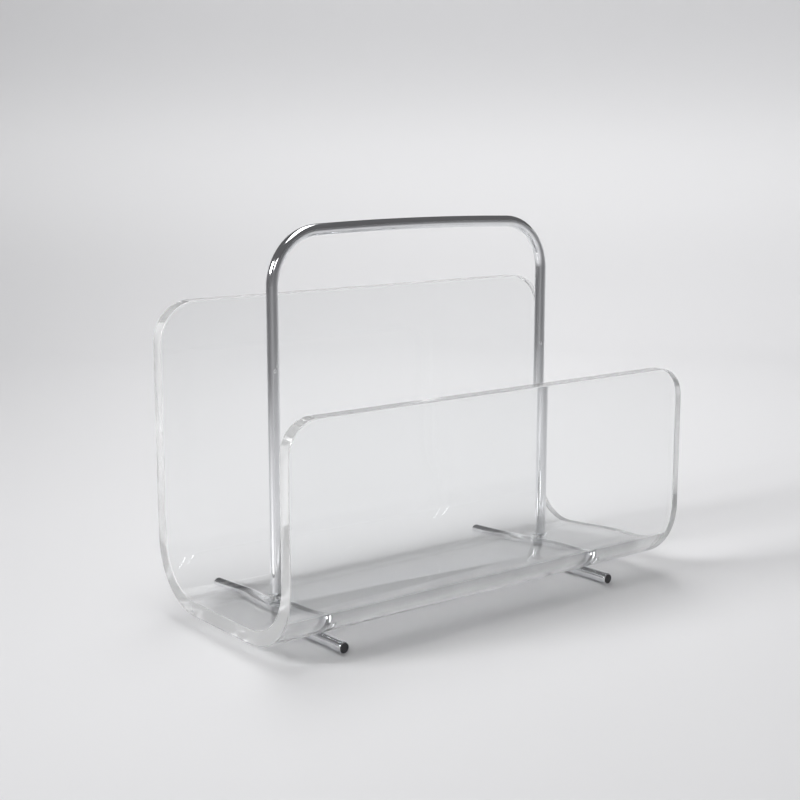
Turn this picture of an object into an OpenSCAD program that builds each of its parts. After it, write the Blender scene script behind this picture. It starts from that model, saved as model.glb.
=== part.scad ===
// Magazine rack: a thick clear acrylic sheet bent into a U-shaped cradle, carried on two
// round foot rods, with a bent rod handle that stands up from the floor of the cradle.
// +X runs along the rack, -Y is the low front panel, +Y the tall back panel, +Z is up.
// The origin is at the centre of the bounding box, on the surface that the rack stands on.

/* [Cradle] */
// Length of the bent sheet along the rack
cradle_length = 340; // [280:1:420]
// Depth of the cradle over the outer faces of its two panels
cradle_depth = 158; // [140:1:220]
// Thickness of the sheet
sheet_thickness = 10; // [8:0.5:12]
// Outer radius of the two bends between floor and panels
bend_radius = 45; // [25:1:55]
// Height of the front panel's top edge above the table
front_height = 157; // [130:1:180]
// Height of the back panel's top edge above the table
back_height = 213; // [190:1:235]
// Radius of the front panel's top corners
front_corner_radius = 22; // [5:1:40]
// Radius of the back panel's top corners
back_corner_radius = 28; // [5:1:40]
// Gap between the table and the underside of the cradle's floor
floor_clearance = 10; // [9:0.5:14]

/* [Rods] */
// Diameter of the round rod used for the handle and the feet
rod_diameter = 8; // [7:0.5:8.5]
// Chamfer on the cut ends of the rods
rod_chamfer = 0.5; // [0.2:0.1:1]
// Length of each foot rod, front to back
foot_length = 152; // [120:1:170]
// Distance from the middle of the cradle's depth back to the handle's plane
handle_setback = 15; // [0:0.5:20]
// Distance between the centrelines of the handle's legs, and of the foot rods
leg_spacing = 236; // [180:1:250]
// Height of the top of the handle above the table
handle_height = 265; // [245:1:300]
// Radius of the handle's bends, on the rod's centreline
handle_bend_radius = 36; // [20:1:45]

/* [Fastening] */
// Diameter of the threaded studs that tie handle, cradle and feet together
stud_diameter = 4; // [3:0.5:5]
// Length of the studs
stud_length = 30; // [26:1:34]
// Metal left in the foot rod under the stud's hole
foot_web = 2; // [1.5:0.1:3]
// Free depth of each threaded hole beyond the stud's end
hole_spare = 0.5; // [0.2:0.1:2]
// Clearance hole through the cradle's floor
floor_hole_diameter = 5; // [4.5:0.5:7]
// Outer diameter of the washers and of the saddle spacers
washer_diameter = 12; // [10:0.5:16]
// Thickness of the washers under the handle's legs
washer_thickness = 1; // [0.5:0.1:2]
// How far the saddle spacers reach down over the foot rods
saddle_drop = 2; // [0.5:0.1:2.5]

/* [Hidden] */
$fn = 96;

// Margin by which a cutting shape overshoots what it cuts
cut = 1;
rod_radius = rod_diameter / 2;
leg_x = leg_spacing / 2;

// Depth positions, with y = 0 in the middle of everything that reaches front and back
foot_back_reach = handle_setback + foot_length / 2;
back_reach = max(cradle_depth / 2, foot_back_reach);
front_reach = max(cradle_depth / 2, foot_length / 2 - handle_setback);
cradle_y = (front_reach - back_reach) / 2;
handle_y = cradle_y + handle_setback;

// Heights of the floor and of the stack on each stud
floor_top = floor_clearance + sheet_thickness;
leg_bottom = floor_top + washer_thickness;
stud_bottom = foot_web + hole_spare;
stud_top = stud_bottom + stud_length;

// The handle's outline: where its bends are centred
half_grip = leg_x - handle_bend_radius;
grip_z = handle_height - rod_radius;
bend_centre_z = grip_z - handle_bend_radius;

// A quarter of a ring of the sheet's section, in the quadrant right of and below its centre
module quarter_ring() {
    intersection() {
        difference() {
            circle(r = bend_radius);
            circle(r = bend_radius - sheet_thickness);
        }
        translate([0, -bend_radius - cut]) square(bend_radius + cut);
    }
}

// One panel with its bend, in section, on the positive side: the panel stands at half the
// cradle's depth and its top edge is at the given height
module half_section(panel_height) {
    bend_x = cradle_depth / 2 - bend_radius;
    bend_z = floor_clearance + bend_radius;
    translate([bend_x, bend_z]) quarter_ring();
    translate([cradle_depth / 2 - sheet_thickness, bend_z])
        square([sheet_thickness, panel_height - bend_z]);
    translate([0, floor_clearance]) square([bend_x, sheet_thickness]);
}

// What is cut off a panel's top corner at +X to round it; the cutter spans one side of the
// cradle's depth, from its middle plane outwards
module corner_cutter(panel_height, radius) {
    side = radius + cut;
    reach = cradle_depth / 2 + cut;
    translate([cradle_length / 2 - radius, 0, panel_height - radius])
        difference() {
            cube([side, reach, side]);
            rotate([-90, 0, 0]) translate([0, 0, -cut]) cylinder(h = reach + 2 * cut, r = radius);
        }
}

// Both top corners of the panel on the +Y side
module corner_pair(panel_height, radius) {
    corner_cutter(panel_height, radius);
    mirror([1, 0, 0]) corner_cutter(panel_height, radius);
}

module cradle() {
    color([0.86, 0.9, 0.92, 0.35])
        translate([0, cradle_y, 0])
        difference() {
            rotate([90, 0, 90])
                linear_extrude(height = cradle_length, center = true) {
                    half_section(back_height);
                    mirror([1, 0]) half_section(front_height);
                }
            corner_pair(back_height, back_corner_radius);
            mirror([0, 1, 0]) corner_pair(front_height, front_corner_radius);
            for (side = [-1, 1])
                translate([side * leg_x, handle_setback, floor_clearance - cut])
                    cylinder(h = sheet_thickness + 2 * cut, d = floor_hole_diameter);
        }
}

// A round rod standing on z = 0, with its lower end chamfered, and its upper end too when asked
module rod(length, both_ends) {
    rotate_extrude()
        polygon([[0, 0], [rod_radius - rod_chamfer, 0], [rod_radius, rod_chamfer],
                 [rod_radius, both_ends ? length - rod_chamfer : length],
                 [both_ends ? rod_radius - rod_chamfer : rod_radius, length], [0, length]]);
}

// The handle's +X side: the leg, the bend above it and half of the grip
module handle_side() {
    translate([leg_x, 0, leg_bottom]) rod(bend_centre_z - leg_bottom, false);
    translate([half_grip, 0, bend_centre_z])
        rotate([90, 0, 0])
        rotate_extrude(angle = 90) translate([handle_bend_radius, 0]) circle(r = rod_radius);
    translate([0, 0, grip_z]) rotate([0, 90, 0]) cylinder(h = half_grip, r = rod_radius);
}

module handle() {
    color([0.78, 0.79, 0.81])
        translate([0, handle_y, 0])
        difference() {
            union() {
                handle_side();
                mirror([1, 0, 0]) handle_side();
            }
            for (side = [-1, 1])
                translate([side * leg_x, 0, leg_bottom - cut])
                    cylinder(h = stud_top + hole_spare - leg_bottom + cut, d = stud_diameter);
        }
}

// A foot rod lying front to back, with the threaded hole for its stud
module foot_rod(side) {
    color([0.78, 0.79, 0.81])
        translate([side * leg_x, handle_y, 0])
        difference() {
            translate([0, -foot_length / 2, rod_radius]) rotate([-90, 0, 0]) rod(foot_length, true);
            translate([0, 0, foot_web]) cylinder(h = rod_diameter, d = stud_diameter);
        }
}

module stud(side) {
    color([0.6, 0.61, 0.62])
        translate([side * leg_x, handle_y, stud_bottom])
        cylinder(h = stud_length, d = stud_diameter);
}

// A thin clear washer between a leg's end and the cradle's floor
module leg_washer(side) {
    color([0.9, 0.92, 0.93, 0.6])
        translate([side * leg_x, handle_y, floor_top])
        difference() {
            cylinder(h = washer_thickness, d = washer_diameter);
            translate([0, 0, -cut]) cylinder(h = washer_thickness + 2 * cut, d = stud_diameter);
        }
}

// A clear round spacer between the floor and a foot rod, hollowed to sit over the rod
module foot_spacer(side) {
    bottom = rod_diameter - saddle_drop;
    color([0.9, 0.92, 0.93, 0.6])
        translate([side * leg_x, handle_y, 0])
        difference() {
            translate([0, 0, bottom]) cylinder(h = floor_clearance - bottom, d = washer_diameter);
            translate([0, -washer_diameter, rod_radius])
                rotate([-90, 0, 0]) cylinder(h = 2 * washer_diameter, r = rod_radius);
            translate([0, 0, bottom - cut])
                cylinder(h = floor_clearance - bottom + 2 * cut, d = stud_diameter);
        }
}

module left_foot_rod() { foot_rod(-1); }
module right_foot_rod() { foot_rod(1); }
module left_stud() { stud(-1); }
module right_stud() { stud(1); }
module left_leg_washer() { leg_washer(-1); }
module right_leg_washer() { leg_washer(1); }
module left_foot_spacer() { foot_spacer(-1); }
module right_foot_spacer() { foot_spacer(1); }

cradle();
handle();
left_foot_rod();
right_foot_rod();
left_stud();
right_stud();
left_leg_washer();
right_leg_washer();
left_foot_spacer();
right_foot_spacer();
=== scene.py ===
import math

import bmesh
import bpy
from mathutils import Matrix, Quaternion, Vector


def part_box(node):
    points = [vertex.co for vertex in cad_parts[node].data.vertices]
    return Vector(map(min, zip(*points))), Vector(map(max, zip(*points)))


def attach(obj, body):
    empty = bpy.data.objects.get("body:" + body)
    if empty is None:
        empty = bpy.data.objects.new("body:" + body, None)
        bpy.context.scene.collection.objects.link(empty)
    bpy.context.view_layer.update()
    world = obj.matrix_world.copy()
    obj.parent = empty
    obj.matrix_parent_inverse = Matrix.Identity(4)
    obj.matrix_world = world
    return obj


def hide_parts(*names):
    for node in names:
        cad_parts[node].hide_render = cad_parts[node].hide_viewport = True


# A clear acrylic magazine rack: a bent sheet, a bent rod handle, two foot rods and their
# fastenings. Every piece replaces one CAD node. All lengths are in metres, in the CAD's frame.
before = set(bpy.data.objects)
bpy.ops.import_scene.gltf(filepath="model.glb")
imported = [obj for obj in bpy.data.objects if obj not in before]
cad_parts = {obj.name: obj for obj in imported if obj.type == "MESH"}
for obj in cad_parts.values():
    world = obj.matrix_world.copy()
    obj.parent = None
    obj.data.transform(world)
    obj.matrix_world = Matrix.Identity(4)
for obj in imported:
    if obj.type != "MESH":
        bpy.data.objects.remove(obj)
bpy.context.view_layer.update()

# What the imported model's boxes can't say: radii, softened edges, the crown of the handle's
# grip, the bores in the handle's legs and the studs' thread
BEND_RADIUS = 0.045
FRONT_CORNER_RADIUS = 0.022
BACK_CORNER_RADIUS = 0.028
HANDLE_BEND_RADIUS = 0.036
GRIP_CROWN = 0.0014
EDGE_ROUNDING = 0.0007
ROD_CHAMFER = 0.0005
FLOOR_HOLE_RADIUS = 0.0025
BORE_RADIUS = 0.002
BORE_DEPTH = 0.012
BORE_CHAMFER = 0.0001
SOFT_CORNER = 0.00025
THREAD_PITCH = 0.0007
THREAD_DEPTH = 0.0004
# Gap left where a clear part touches another, so that no two surfaces coincide
CLEARANCE = 0.00004
# Half width of the square of floor that is meshed round each hole
HOLE_PATCH = 0.008

# Share of a bend's half length over which its curvature fades in from the straight sheet
BEND_EASING = 0.5

# How finely the curves are meshed
BEND_STEPS = 96
CORNER_STEPS = 28
EDGE_STEPS = 4
HOLE_STEPS = 48
CROWN_STEPS = 24
ROD_SIDES = 64
WASHER_SIDES = 64
SPACER_SIDES = 96
SADDLE_STEPS = 10
STUD_SIDES = 30
THREAD_STEPS = 5

cradle_low, cradle_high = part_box("cradle")
handle_low, handle_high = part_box("handle")

HALF_LENGTH = cradle_high.x
FRONT_Y = cradle_low.y
BACK_Y = cradle_high.y
FLOOR_BOTTOM = cradle_low.z
FLOOR_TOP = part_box("right_leg_washer")[0].z
BACK_TOP = cradle_high.z
FRONT_TOP = max(v.co.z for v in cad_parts["cradle"].data.vertices if v.co.y < 0)
THICKNESS = FLOOR_TOP - FLOOR_BOTTOM
ROD_RADIUS = (handle_high.y - handle_low.y) / 2
LEG_X = handle_high.x - ROD_RADIUS
HANDLE_Y = (handle_high.y + handle_low.y) / 2


# ---------------------------------------------------------------------------------------
# Meshes with exact normals
# ---------------------------------------------------------------------------------------


class Shape:
    """Vertices, each with its true surface normal, and faces with a material index."""

    def __init__(self):
        self.points = []
        self.normals = []
        self.faces = []
        self.slots = []

    def add(self, point, normal):
        self.points.append(Vector(point))
        self.normals.append(Vector(normal).normalized())
        return len(self.points) - 1

    def face(self, indices, slot=0):
        """Adds a face and turns it so that it looks the way its vertices' normals do."""
        corners = [self.points[i] for i in indices]
        area = Vector((0, 0, 0))
        for a, b in zip(corners, corners[1:] + corners[:1]):
            area += a.cross(b)
        outward = sum((self.normals[i] for i in indices), Vector((0, 0, 0)))
        self.faces.append(list(indices) if area.dot(outward) > 0 else list(indices)[::-1])
        self.slots.append(slot)

    def strip(self, rings, slot=0, closed=False):
        """Quads between each pair of neighbouring rings of equal length."""
        for ring, following in zip(rings, rings[1:] + (rings[:1] if closed else [])):
            for k in range(len(ring) - 1):
                self.face([ring[k], ring[k + 1], following[k + 1], following[k]], slot)

    def build(self, name, materials, origin=(0, 0, 0)):
        origin = Vector(origin)
        mesh = bpy.data.meshes.new(name)
        mesh.from_pydata([p - origin for p in self.points], [], self.faces)
        for material in materials:
            mesh.materials.append(material)
        mesh.polygons.foreach_set("material_index", self.slots)
        mesh.polygons.foreach_set("use_smooth", [True] * len(self.faces))
        mesh.update()
        mesh.normals_split_custom_set_from_vertices([tuple(n) for n in self.normals])
        piece = bpy.data.objects.new(name, mesh)
        bpy.context.scene.collection.objects.link(piece)
        piece.location = origin
        return piece


# ---------------------------------------------------------------------------------------
# The bent sheet
# ---------------------------------------------------------------------------------------


class Row:
    """One row of the sheet across its length, at one place of its bent section.

    outer is the point (y, z) on the sheet's outer face and out its outward normal. A row in a
    panel's rounded corner has that corner's centre and radius (reach) and its own angle, by
    which it also rises. Any other row runs to the sheet's square ends."""

    def __init__(self, outer, out, centre_x=0.0, reach=HALF_LENGTH, angle=0.0):
        self.outer = Vector(outer)
        self.out = Vector(out)
        self.centre_x = centre_x
        self.reach = reach
        self.angle = angle

    def at(self, x, inset, depth):
        """A point of the row at x: inset from the sheet's edge, depth below the outer face."""
        rise = (self.reach - inset) * math.sin(self.angle)
        place = self.outer - self.out * depth
        return Vector((x, place.x, place.y + rise))

    def rim(self, side, inset, depth):
        """The row's end on one side (-1 left, 1 right)."""
        x = side * (self.centre_x + (self.reach - inset) * math.cos(self.angle))
        return self.at(x, inset, depth)

    def rim_direction(self, side):
        return Vector((side * math.cos(self.angle), 0, math.sin(self.angle)))

    def out_direction(self):
        return Vector((0, self.out.x, self.out.y))


def panel_rows(y, out_y, top, corner_radius):
    """The rows of one panel's rounded top, from where the corner starts up to the top edge."""
    centre_x = HALF_LENGTH - corner_radius
    rows = []
    for i in range(CORNER_STEPS + 1):
        angle = math.pi / 2 * i / CORNER_STEPS
        rows.append(
            Row((y, top - corner_radius), (out_y, 0), centre_x, corner_radius, angle)
        )
    return rows


def eased_bend():
    """The middle line of one bend, from the panel down to the floor, as (drop, run, turn)
    steps, and the length that it takes off each straight. Heat bending leaves a curvature
    that fades in and out; the bend passes through the middle of the CAD's round one."""
    finer = 40
    fine = finer * BEND_STEPS
    curvature = []
    for i in range(fine + 1):
        away = abs(2 * i / fine - 1)
        fade = max(0.0, (away - (1 - BEND_EASING)) / BEND_EASING)
        curvature.append(0.5 * (1 + math.cos(math.pi * fade)))
    turns = [0.0]
    for a, b in zip(curvature, curvature[1:]):
        turns.append(turns[-1] + (a + b) / 2)
    turns = [t / turns[-1] * math.pi / 2 for t in turns]
    drop, run, places = 0.0, 0.0, [(0.0, 0.0)]
    for a, b in zip(turns, turns[1:]):
        drop += math.cos((a + b) / 2)
        run += math.sin((a + b) / 2)
        places.append((drop, run))
    middle_drop, middle_run = places[fine // 2]
    cut = math.hypot(drop - middle_drop, middle_run)
    scale = (BEND_RADIUS - THICKNESS / 2) * (math.sqrt(2) - 1) / cut
    steps = [
        (places[i][0] * scale, places[i][1] * scale, turns[i])
        for i in range(0, fine + 1, finer)
    ]
    return steps, drop * scale


def sheet_rows():
    """All rows from the front panel's top edge to the back panel's top edge."""
    half = THICKNESS / 2
    steps, straight = eased_bend()
    start_z = FLOOR_BOTTOM + half + straight
    bends = []
    for panel_y, side in ((FRONT_Y, -1), (BACK_Y, 1)):
        bend = []
        for drop, run, turn in steps:
            out = Vector((side * math.cos(turn), -math.sin(turn)))
            middle = Vector((panel_y - side * (half + run), start_z - drop))
            bend.append(Row(middle + out * half, out))
        bends.append(bend)
    rows = panel_rows(FRONT_Y, -1, FRONT_TOP, FRONT_CORNER_RADIUS)[::-1]
    rows += bends[0]
    for y in (HANDLE_Y - HOLE_PATCH, HANDLE_Y + HOLE_PATCH):
        rows.append(Row((y, FLOOR_BOTTOM), (0, -1)))
    rows += bends[1][::-1]
    rows += panel_rows(BACK_Y, 1, BACK_TOP, BACK_CORNER_RADIUS)
    return rows


def edge_profile():
    """Across the sheet's edge, from the outer face to the inner: inset, depth, and how much
    of the normal points out of the edge and out of the outer face."""
    turns = [math.pi / 2 * k / EDGE_STEPS for k in range(EDGE_STEPS + 1)]
    near = [
        (
            EDGE_ROUNDING * (1 - math.sin(a)),
            EDGE_ROUNDING * (1 - math.cos(a)),
            math.sin(a),
            math.cos(a),
        )
        for a in turns
    ]
    far = [(inset, THICKNESS - depth, rim, -out) for inset, depth, rim, out in near]
    return near + far[::-1]


def build_sheet(materials):
    shape = Shape()
    rows = sheet_rows()
    profile = edge_profile()
    columns = [-LEG_X - HOLE_PATCH, -LEG_X + HOLE_PATCH, LEG_X - HOLE_PATCH, LEG_X + HOLE_PATCH]

    def rim_ring(row, side, x=None):
        rim = row.rim_direction(side)
        out = row.out_direction()
        ring = []
        for inset, depth, to_rim, to_out in profile:
            place = row.rim(side, inset, depth) if x is None else row.at(x, inset, depth)
            ring.append(shape.add(place, rim * to_rim + out * to_out))
        return ring

    left = [rim_ring(row, -1) for row in rows]
    right = [rim_ring(row, 1) for row in rows]
    front_edge = [rim_ring(rows[0], 1, x) for x in columns]
    back_edge = [rim_ring(rows[-1], 1, x) for x in columns]
    rings = left + back_edge + right[::-1] + front_edge[::-1]
    shape.strip(rings, slot=1, closed=True)

    hole_row = CORNER_STEPS + 1 + BEND_STEPS + 1
    grids = []
    for k, depth, turn in ((0, 0.0, 1), (-1, THICKNESS, -1)):
        grid = []
        for i, row in enumerate(rows):
            if i in (0, len(rows) - 1):
                between = [ring[k] for ring in (front_edge if i == 0 else back_edge)]
            else:
                normal = row.out_direction() * turn
                between = [shape.add(row.at(x, EDGE_ROUNDING, depth), normal) for x in columns]
            grid.append([left[i][k], *between, right[i][k]])
        grids.append(grid)
        for i in range(len(grid) - 1):
            for j in range(len(grid[i]) - 1):
                if i == hole_row and j in (1, 3):
                    continue
                shape.face([grid[i][j], grid[i][j + 1], grid[i + 1][j + 1], grid[i + 1][j]])

    for j, x in ((1, -LEG_X), (3, LEG_X)):
        rings = []
        for i in range(HOLE_STEPS):
            angle = 2 * math.pi * (i + 0.5) / HOLE_STEPS
            across = Vector((math.cos(angle), math.sin(angle), 0))
            ring = []
            for inset, depth, to_rim, to_out in profile:
                centre = Vector((x, HANDLE_Y, FLOOR_BOTTOM + depth))
                normal = -across * to_rim - Vector((0, 0, 1)) * to_out
                ring.append(shape.add(centre + across * (FLOOR_HOLE_RADIUS + inset), normal))
            rings.append(ring)
        shape.strip(rings, slot=1, closed=True)
        for k, grid in ((0, grids[0]), (-1, grids[1])):
            a, b = grid[hole_row], grid[hole_row + 1]
            # Four faces close the patch, each between two of its corners and a quarter of the
            # hole. The corners are taken in turn round the hole, from 45 degrees on.
            corners = [b[j + 1], b[j], a[j], a[j + 1]]
            quarter = HOLE_STEPS // 4
            shift = HOLE_STEPS // 8
            for q in range(4):
                arc = [
                    rings[(q * quarter + shift + m) % HOLE_STEPS][k]
                    for m in range(quarter + 1)
                ]
                shape.face([*arc, corners[(q + 1) % 4], corners[q]])
    return shape.build("sheet", materials)


# ---------------------------------------------------------------------------------------
# Rods
# ---------------------------------------------------------------------------------------


def build_rod(name, path, plane_normal, materials, bore=None, origin=(0, 0, 0)):
    """A round rod along path, a list of (point, tangent) in one plane, with chamfered ends.
    bore, if given, is the radius and depth of a hole in each end."""
    shape = Shape()
    binormal = Vector(plane_normal)

    def ring(centre, tangent, radius, lean):
        side = tangent.cross(binormal)
        made = []
        for i in range(ROD_SIDES):
            angle = 2 * math.pi * i / ROD_SIDES
            across = side * math.cos(angle) + binormal * math.sin(angle)
            normal = across * math.cos(lean) + tangent * math.sin(lean)
            made.append(shape.add(centre + across * radius, normal))
        return made + made[:1]

    def end_rings(point, tangent, outward):
        """From the rod's side over the chamfer onto the cut face, each corner softened."""
        soft = ROD_CHAMFER * 0.25
        turn = math.pi / 4
        rows = [
            (ROD_CHAMFER + soft, 0.0, 0.0),
            (ROD_CHAMFER - soft * 0.6, soft * 0.6, turn),
            (soft * 0.6, ROD_CHAMFER - soft * 0.6, turn),
            (0.0, ROD_CHAMFER + soft, math.pi / 2),
        ]
        return [
            ring(point - tangent * back * outward, tangent, ROD_RADIUS - drop, lean * outward)
            for back, drop, lean in rows
        ]

    body = []
    start, finish = path[0], path[-1]
    first = end_rings(start[0], start[1], -1)
    last = end_rings(finish[0], finish[1], 1)
    for point, tangent in path[1:-1]:
        body.append(ring(point, tangent, ROD_RADIUS, 0.0))
    shape.strip([*first[::-1][1:], *body, *last[:-1]], slot=0)
    for rings, (point, tangent), outward in ((first, start, -1), (last, finish, 1)):
        shape.strip(rings[-2:], slot=0)
        flat = math.pi / 2 * outward
        if bore is None:
            inner = [ring(point, tangent, ROD_RADIUS * share, flat) for share in (0.5, 0.12)]
            shape.strip([rings[-1], *inner], slot=1)
            shape.face(inner[-1][:-1], slot=1)
            continue
        radius, depth = bore
        mouth = ring(point, tangent, radius + BORE_CHAMFER, flat)
        wall = [
            ring(point - tangent * back * outward, tangent, radius, math.pi)
            for back in (BORE_CHAMFER, depth)
        ]
        end = point - tangent * (depth + BORE_CHAMFER) * outward
        bottom = ring(end, tangent, radius * 0.9, flat)
        shape.strip([rings[-1], mouth, *wall, bottom], slot=1)
        shape.face(bottom[:-1], slot=1)
    return shape.build(name, materials, origin)


def handle_path():
    """Centreline of the handle from the left leg's foot over the grip to the right leg's."""
    grip_top = handle_high.z - ROD_RADIUS
    half_grip = LEG_X - HANDLE_BEND_RADIUS
    crown_radius = (half_grip**2 + GRIP_CROWN**2) / (2 * GRIP_CROWN)
    tilt = math.asin(half_grip / (crown_radius - HANDLE_BEND_RADIUS))
    crown_centre_z = grip_top - crown_radius
    bend_z = crown_centre_z + (crown_radius - HANDLE_BEND_RADIUS) * math.cos(tilt)
    quarter = math.pi / 2 - tilt
    path = [(Vector((-LEG_X, HANDLE_Y, handle_low.z)), Vector((0, 0, 1)))]
    for share in (0.02, 0.25, 0.5, 0.75):
        z = handle_low.z + (bend_z - handle_low.z) * share
        path.append((Vector((-LEG_X, HANDLE_Y, z)), Vector((0, 0, 1))))
    for i in range(BEND_STEPS // 2 + 1):
        turn = quarter * i * 2 / BEND_STEPS
        c, s = math.cos(turn), math.sin(turn)
        x = -half_grip - HANDLE_BEND_RADIUS * c
        path.append((Vector((x, HANDLE_Y, bend_z + HANDLE_BEND_RADIUS * s)), Vector((s, 0, c))))
    left_side = list(path)
    for i in range(1, CROWN_STEPS):
        lean = -tilt + 2 * tilt * i / CROWN_STEPS
        c, s = math.cos(lean), math.sin(lean)
        place = Vector((crown_radius * s, HANDLE_Y, crown_centre_z + crown_radius * c))
        path.append((place, Vector((c, 0, -s))))
    for point, tangent in left_side[::-1]:
        path.append((Vector((-point.x, point.y, point.z)), Vector((tangent.x, 0, -tangent.z))))
    return path


def foot_path(node):
    low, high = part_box(node)
    x, z = (low.x + high.x) / 2, (low.z + high.z) / 2
    forward = Vector((0, 1, 0))
    steps = (0.0, 0.02, 0.25, 0.5, 0.75, 0.98, 1.0)
    return [(Vector((x, low.y + (high.y - low.y) * t, z)), forward) for t in steps]


# ---------------------------------------------------------------------------------------
# Small fastening parts
# ---------------------------------------------------------------------------------------


def link_piece(name, points, faces, material, origin, sharp=math.radians(35)):
    """A piece from plain points and faces, smooth except along edges sharper than sharp."""
    mesh = bpy.data.meshes.new(name)
    mesh.from_pydata(points, [], faces)
    mesh.materials.append(material)
    solid = bmesh.new()
    solid.from_mesh(mesh)
    bmesh.ops.recalc_face_normals(solid, faces=solid.faces)
    solid.to_mesh(mesh)
    solid.free()
    mesh.polygons.foreach_set("use_smooth", [True] * len(faces))
    mesh.set_sharp_from_angle(angle=sharp)
    piece = bpy.data.objects.new(name, mesh)
    bpy.context.scene.collection.objects.link(piece)
    piece.location = origin
    return piece


def ring_piece(name, rings, sides, material, origin, closed=True):
    """A piece of rings of points, each ring a function of the angle. The last ring joins the
    first, or, if it isn't closed, both are capped."""
    points, faces = [], []
    for place in rings:
        for k in range(sides):
            points.append(place(2 * math.pi * k / sides))
    count = len(rings)
    for r in range(count if closed else count - 1):
        a, b = r * sides, (r + 1) % count * sides
        for k in range(sides):
            following = (k + 1) % sides
            faces.append((a + k, a + following, b + following, b + k))
    if not closed:
        faces.append(tuple(range(sides))[::-1])
        faces.append(tuple(range((count - 1) * sides, count * sides)))
    return link_piece(name, points, faces, material, origin)


def circle(radius, z):
    return lambda angle: (radius * math.cos(angle), radius * math.sin(angle), z)


def build_washer(name, node, material):
    """A flat clear washer with softened edges, a hair clear of what it lies between."""
    low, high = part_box(node)
    outer = (high.x - low.x) / 2
    inner = BORE_RADIUS + CLEARANCE * 4
    top = (high.z - low.z) / 2 - CLEARANCE
    turns = (0, math.pi / 6, math.pi / 3, math.pi / 2)
    corner = [(1 - math.cos(a), 1 - math.sin(a)) for a in turns]
    section = [(outer - SOFT_CORNER * c, top - SOFT_CORNER * s) for c, s in corner]
    section += [(inner + SOFT_CORNER * c, top - SOFT_CORNER * s) for c, s in corner[::-1]]
    section += [(r, -z) for r, z in section[::-1]]
    centre = (low + high) / 2
    rings = [circle(r, z) for r, z in section[::-1]]
    return ring_piece(name, rings, WASHER_SIDES, material, centre)


def build_spacer(name, node, rod_node, material):
    """A clear round spacer that sits astride its foot rod, with a saddle cut for it."""
    low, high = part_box(node)
    rod_low, rod_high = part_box(rod_node)
    centre = Vector(((low.x + high.x) / 2, (low.y + high.y) / 2, low.z))
    outer, inner = (high.x - low.x) / 2, BORE_RADIUS + CLEARANCE * 4
    top = high.z - low.z - CLEARANCE
    axis_z = (rod_low.z + rod_high.z) / 2 - low.z
    saddle = ROD_RADIUS + CLEARANCE

    def under(radius):
        def place(angle):
            x, y = radius * math.cos(angle), radius * math.sin(angle)
            arch = axis_z + math.sqrt(max(0.0, saddle**2 - x**2)) if abs(x) < saddle else 0.0
            return (x, y, max(0.0, arch))

        return place

    radii = [outer + (inner - outer) * i / SADDLE_STEPS for i in range(SADDLE_STEPS + 1)]
    rings = [under(radius) for radius in radii]
    rings += [circle(inner, top), circle(outer - SOFT_CORNER, top)]
    rings += [circle(outer, top - SOFT_CORNER)]
    return ring_piece(name, rings, SPACER_SIDES, material, centre)


def build_stud(name, node, material):
    """A stud: a helical thread cut into a bar of the stud's diameter, fading at both ends."""
    low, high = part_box(node)
    centre = Vector(((low.x + high.x) / 2, (low.y + high.y) / 2, low.z))
    length, major = high.z - low.z, (high.x - low.x) / 2 - CLEARANCE

    def ring(i):
        z = THREAD_PITCH * i / THREAD_STEPS
        ease = min(1.0, z / THREAD_PITCH, (length - z) / THREAD_PITCH)

        def place(angle):
            phase = (z / THREAD_PITCH - angle / (2 * math.pi)) % 1.0
            depth = THREAD_DEPTH * (1 - abs(2 * phase - 1)) + THREAD_DEPTH * (1 - ease)
            return circle(major - depth, z)(angle)

        return place

    rings = [ring(i) for i in range(round(length / THREAD_PITCH * THREAD_STEPS) + 1)]
    return ring_piece(name, rings, STUD_SIDES, material, centre, closed=False)


# ---------------------------------------------------------------------------------------
# Materials
# ---------------------------------------------------------------------------------------


class Nodes:
    """A small helper that makes a material's node tree."""

    def __init__(self, name):
        self.material = bpy.data.materials.new(name)
        self.material.use_nodes = True
        self.tree = self.material.node_tree
        self.shader = self.tree.nodes["Principled BSDF"]

    def new(self, kind):
        return self.tree.nodes.new(kind)

    def link(self, a, b):
        self.tree.links.new(a, b)


def noise(n, coordinates, scale, detail=3.0, roughness=0.5):
    node = n.new("ShaderNodeTexNoise")
    node.inputs["Scale"].default_value = scale
    node.inputs["Detail"].default_value = detail
    node.inputs["Roughness"].default_value = roughness
    n.link(coordinates, node.inputs["Vector"])
    return node.outputs["Fac"]


def stretched(n, scale, rotation=(0, 0, 0)):
    coordinates = n.new("ShaderNodeTexCoord")
    mapping = n.new("ShaderNodeMapping")
    mapping.inputs["Scale"].default_value = scale
    mapping.inputs["Rotation"].default_value = rotation
    n.link(coordinates.outputs["Object"], mapping.inputs["Vector"])
    return mapping.outputs["Vector"]


def ranged(n, value, low, high, from_low=0.0, from_high=1.0):
    node = n.new("ShaderNodeMapRange")
    node.inputs["From Min"].default_value = from_low
    node.inputs["From Max"].default_value = from_high
    node.inputs["To Min"].default_value = low
    node.inputs["To Max"].default_value = high
    n.link(value, node.inputs["Value"])
    return node.outputs["Result"]


def bump(n, height, distance, strength=1.0):
    """Adds a bump on top of the ones already there."""
    node = n.new("ShaderNodeBump")
    node.inputs["Strength"].default_value = strength
    node.inputs["Distance"].default_value = distance
    n.link(height, node.inputs["Height"])
    for link in list(n.shader.inputs["Normal"].links):
        n.link(link.from_socket, node.inputs["Normal"])
    n.link(node.outputs["Normal"], n.shader.inputs["Normal"])


def clear_acrylic(name, tint, transmission=1.0):
    n = Nodes(name)
    n.shader.inputs["Base Color"].default_value = (*tint, 1)
    n.shader.inputs["Transmission Weight"].default_value = transmission
    n.shader.inputs["IOR"].default_value = 1.49
    return n


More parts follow.
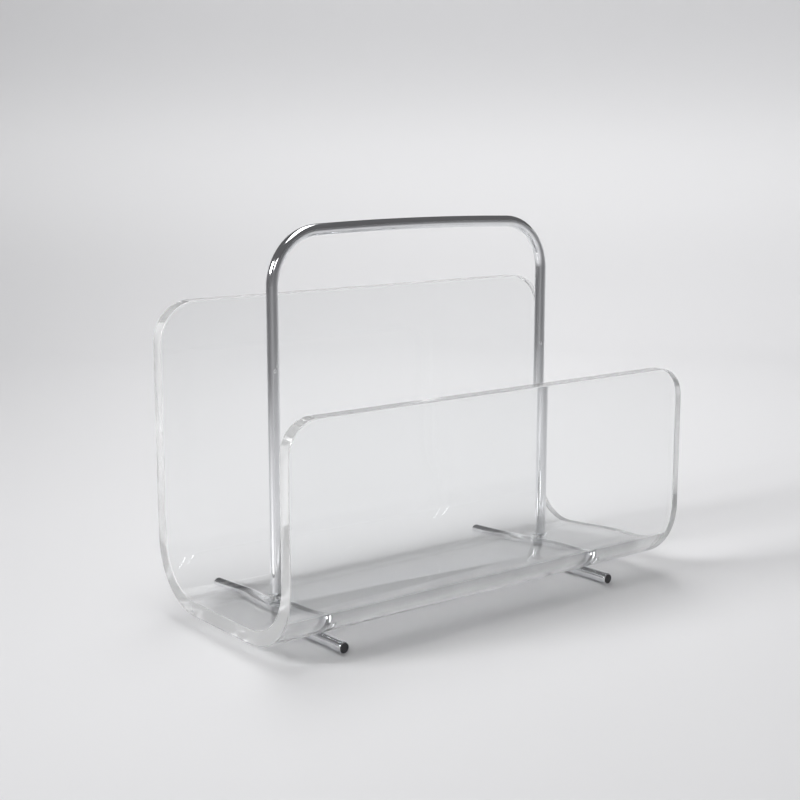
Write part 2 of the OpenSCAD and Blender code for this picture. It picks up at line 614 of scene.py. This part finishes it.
def acrylic_face():
    """Clear faces: a very slight waviness left by heat bending, and a few hairline marks."""
    n = clear_acrylic("clear_acrylic_face", (0.985, 0.99, 0.99))
    bump(n, noise(n, stretched(n, (9, 9, 14)), 1.0, detail=1.0), 0.00003)
    hairlines = noise(n, stretched(n, (60, 400, 1600), (0.3, 0.2, 0.1)), 1.0, detail=2.0)
    n.link(ranged(n, hairlines, 0.0, 0.012, 0.72, 0.8), n.shader.inputs["Roughness"])
    return n.material


def acrylic_edge():
    """Polished edges: a little milky, so brighter than the faces, and unevenly polished."""
    n = clear_acrylic("clear_acrylic_edge", (0.97, 0.975, 0.975), 0.72)
    marks = noise(n, stretched(n, (300, 300, 300)), 1.0, detail=4.0)
    n.link(ranged(n, marks, 0.02, 0.09, 0.35, 0.7), n.shader.inputs["Roughness"])
    bump(n, noise(n, stretched(n, (45, 45, 45)), 1.0, detail=2.0), 0.00003)
    return n.material


def polished_chrome():
    """Bright plated rod: mirror-like, with a fine grain of slightly duller plate."""
    n = Nodes("polished_chrome")
    n.shader.inputs["Metallic"].default_value = 1.0
    n.shader.inputs["Base Color"].default_value = (0.86, 0.865, 0.88, 1)
    grain = noise(n, stretched(n, (700, 700, 700)), 1.0, detail=4.0)
    n.link(ranged(n, grain, 0.03, 0.11, 0.35, 0.75), n.shader.inputs["Roughness"])
    bump(n, noise(n, stretched(n, (40, 40, 40)), 1.0, detail=1.0), 0.00002)
    return n.material


def painted_dark_rod_end():
    """A faced cut with turning rings, coloured far darker than bare steel: painted shade
    standing in for a dark reflection.
    """
    n = Nodes("painted_dark_rod_end")
    n.shader.inputs["Metallic"].default_value = 1.0
    place = n.new("ShaderNodeTexCoord")
    rings = n.new("ShaderNodeTexWave")
    rings.wave_type = "RINGS"
    rings.rings_direction = "Y"
    rings.inputs["Scale"].default_value = 500.0
    rings.inputs["Distortion"].default_value = 0.6
    n.link(place.outputs["Object"], rings.inputs["Vector"])
    # Painted shade: near-black metal colour in place of the dark surroundings the cut face
    # would mirror; the rings are real.
    tone = n.new("ShaderNodeValToRGB")
    tone.color_ramp.elements[0].color = (0.05, 0.05, 0.052, 1)
    tone.color_ramp.elements[1].color = (0.14, 0.14, 0.145, 1)
    n.link(rings.outputs["Fac"], tone.inputs["Fac"])
    n.link(tone.outputs["Color"], n.shader.inputs["Base Color"])
    n.link(ranged(n, rings.outputs["Fac"], 0.28, 0.45), n.shader.inputs["Roughness"])
    bump(n, rings.outputs["Fac"], 0.00003)
    return n.material


def zinc_steel():
    """The studs: dull bright zinc with darker patches."""
    n = Nodes("zinc_steel")
    n.shader.inputs["Metallic"].default_value = 1.0
    grain = noise(n, stretched(n, (600, 600, 2500)), 1.0, detail=4.0)
    tone = n.new("ShaderNodeValToRGB")
    tone.color_ramp.elements[0].position = 0.3
    tone.color_ramp.elements[1].position = 0.7
    tone.color_ramp.elements[0].color = (0.48, 0.49, 0.51, 1)
    tone.color_ramp.elements[1].color = (0.66, 0.67, 0.69, 1)
    n.link(grain, tone.inputs["Fac"])
    n.link(tone.outputs["Color"], n.shader.inputs["Base Color"])
    n.link(ranged(n, grain, 0.22, 0.42, 0.3, 0.7), n.shader.inputs["Roughness"])
    return n.material


def clear_plastic():
    """Washers and spacers: clear, slightly greyer than the sheet, with a faint grain."""
    n = clear_acrylic("clear_plastic", (0.95, 0.96, 0.965))
    marks = noise(n, stretched(n, (500, 500, 500)), 1.0, detail=3.0)
    n.link(ranged(n, marks, 0.02, 0.08, 0.35, 0.7), n.shader.inputs["Roughness"])
    bump(n, marks, 0.00001)
    return n.material


MATERIALS = {
    "face": acrylic_face(),
    "edge": acrylic_edge(),
    "chrome": polished_chrome(),
    "rod_end": painted_dark_rod_end(),
    "steel": zinc_steel(),
    "plastic": clear_plastic(),
}

sheet = build_sheet([MATERIALS["face"], MATERIALS["edge"]])
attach(sheet, "root")
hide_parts("cradle")

rod_materials = [MATERIALS["chrome"], MATERIALS["rod_end"]]
bent_handle = build_rod(
    "bent_handle", handle_path(), (0, 1, 0), rod_materials, bore=(BORE_RADIUS, BORE_DEPTH)
)
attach(bent_handle, "root")
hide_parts("handle")

for side in ("left", "right"):
    node = side + "_foot_rod"
    path = foot_path(node)
    centre = (path[0][0] + path[-1][0]) / 2
    rod = build_rod(side + "_foot_bar", path, (0, 0, 1), rod_materials, origin=centre)
    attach(rod, "root")
    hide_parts(node)

    node = side + "_stud"
    stud = build_stud(side + "_threaded_stud", node, MATERIALS["steel"])
    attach(stud, "root")
    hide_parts(node)

    node = side + "_leg_washer"
    washer = build_washer(side + "_clear_washer", node, MATERIALS["plastic"])
    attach(washer, "root")
    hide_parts(node)

    node = side + "_foot_spacer"
    spacer = build_spacer(
        side + "_saddle_spacer", node, side + "_foot_rod", MATERIALS["plastic"]
    )
    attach(spacer, "root")
    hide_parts(node)


# ---------------------------------------------------------------------------------------
# Studio
# ---------------------------------------------------------------------------------------

FLOOR_RADIUS = 1.25
SWEEP_RADIUS = 0.55
WALL_TOP = 0.75
FLOOR_SIDES = 96
SWEEP_STEPS = 24

# The photograph's viewing angle, in degrees: yaw to the right of +Y, pitch below the horizon
CAMERA_YAW = 38.20
CAMERA_PITCH = 10.14
CAMERA_LENS = 65.63
CAMERA_PLACE = (-0.6293, -0.7731, 0.3175)

# The acrylic sends light to and fro many times before it comes out
CLEAR_BOUNCES = 64


def make_floor():
    """A round pale floor that sweeps up into a low wall on all sides, open at the top."""
    profile = [(0.0, 0.0), (FLOOR_RADIUS, 0.0)]
    for i in range(1, SWEEP_STEPS + 1):
        angle = math.pi / 2 * i / SWEEP_STEPS
        across = FLOOR_RADIUS + SWEEP_RADIUS * math.sin(angle)
        profile.append((across, SWEEP_RADIUS * (1 - math.cos(angle))))
    profile.append((FLOOR_RADIUS + SWEEP_RADIUS, WALL_TOP))
    points, faces = [(0, 0, 0)], []
    for across, z in profile[1:]:
        for k in range(FLOOR_SIDES):
            angle = 2 * math.pi * k / FLOOR_SIDES
            points.append((across * math.cos(angle), across * math.sin(angle), z))
    for k in range(FLOOR_SIDES):
        following = (k + 1) % FLOOR_SIDES
        faces.append((0, 1 + k, 1 + following))
        for ring in range(len(profile) - 2):
            a, b = 1 + ring * FLOOR_SIDES, 1 + (ring + 1) * FLOOR_SIDES
            faces.append((a + k, b + k, b + following, a + following))
    mesh = bpy.data.meshes.new("studio_floor")
    mesh.from_pydata(points, [], faces)
    mesh.polygons.foreach_set("use_smooth", [True] * len(faces))
    floor = bpy.data.objects.new("studio_floor", mesh)
    bpy.context.scene.collection.objects.link(floor)
    n = Nodes("pale_floor")
    n.shader.inputs["Base Color"].default_value = (0.7, 0.7, 0.71, 1)
    n.shader.inputs["Roughness"].default_value = 0.45
    mesh.materials.append(n.material)


def make_world():
    world = bpy.data.worlds.new("studio")
    bpy.context.scene.world = world
    world.use_nodes = True
    background = world.node_tree.nodes["Background"]
    background.inputs["Color"].default_value = (1.0, 1.0, 1.02, 1)
    background.inputs["Strength"].default_value = 0.12


def make_softbox(name, place, aim, size, power, spread, turn=0.0):
    """A softbox with a grid: it throws its light within the given spread. turn turns it
    about the vertical. Both are in degrees."""
    data = bpy.data.lights.new(name, "AREA")
    data.shape = "RECTANGLE"
    data.size, data.size_y = size
    data.energy = power
    data.spread = math.radians(spread)
    light = bpy.data.objects.new(name, data)
    light.location = place
    light.rotation_mode = "QUATERNION"
    facing = (Vector(aim) - Vector(place)).to_track_quat("-Z", "Y")
    light.rotation_quaternion = Quaternion((0, 0, 1), math.radians(turn)) @ facing
    bpy.context.scene.collection.objects.link(light)


def make_camera():
    yaw, pitch = math.radians(CAMERA_YAW), math.radians(CAMERA_PITCH)
    forward = Vector(
        (math.sin(yaw) * math.cos(pitch), math.cos(yaw) * math.cos(pitch), -math.sin(pitch))
    )
    right = Vector((math.cos(yaw), -math.sin(yaw), 0))
    up = right.cross(forward)
    data = bpy.data.cameras.new("camera")
    data.sensor_width = 36.0
    data.lens = CAMERA_LENS
    camera = bpy.data.objects.new("camera", data)
    turn = Matrix((right, up, -forward)).transposed()
    camera.matrix_world = Matrix.Translation(CAMERA_PLACE) @ turn.to_4x4()
    bpy.context.scene.collection.objects.link(camera)
    bpy.context.scene.camera = camera


make_floor()
make_world()
make_softbox(
    "long_softbox",
    (0.2, 0.25, 2.0),
    aim=(0.2, 0.25, 0),
    size=(0.8, 2.4),
    power=9,
    spread=90,
    turn=-CAMERA_YAW,
)
make_softbox(
    "wall_softbox",
    (0.45, 0.55, 1.6),
    aim=(1.2, 1.5, 0.4),
    size=(1.4, 0.5),
    power=10,
    spread=140,
)
make_softbox(
    "front_softbox",
    (-1.25, -1.5, 1.0),
    aim=(-0.75, -0.95, 0),
    size=(0.6, 0.6),
    power=1.8,
    spread=90,
)
make_softbox(
    "side_softbox",
    (-2.1, 0.2, 1.15),
    aim=(0, 0, 0.1),
    size=(0.8, 0.8),
    power=5.5,
    spread=50,
)
make_camera()
cycles = bpy.context.scene.cycles
cycles.max_bounces = CLEAR_BOUNCES
cycles.transmission_bounces = CLEAR_BOUNCES
cycles.glossy_bounces = CLEAR_BOUNCES
cycles.diffuse_bounces = 4
bpy.context.scene.view_settings.view_transform = "Standard"
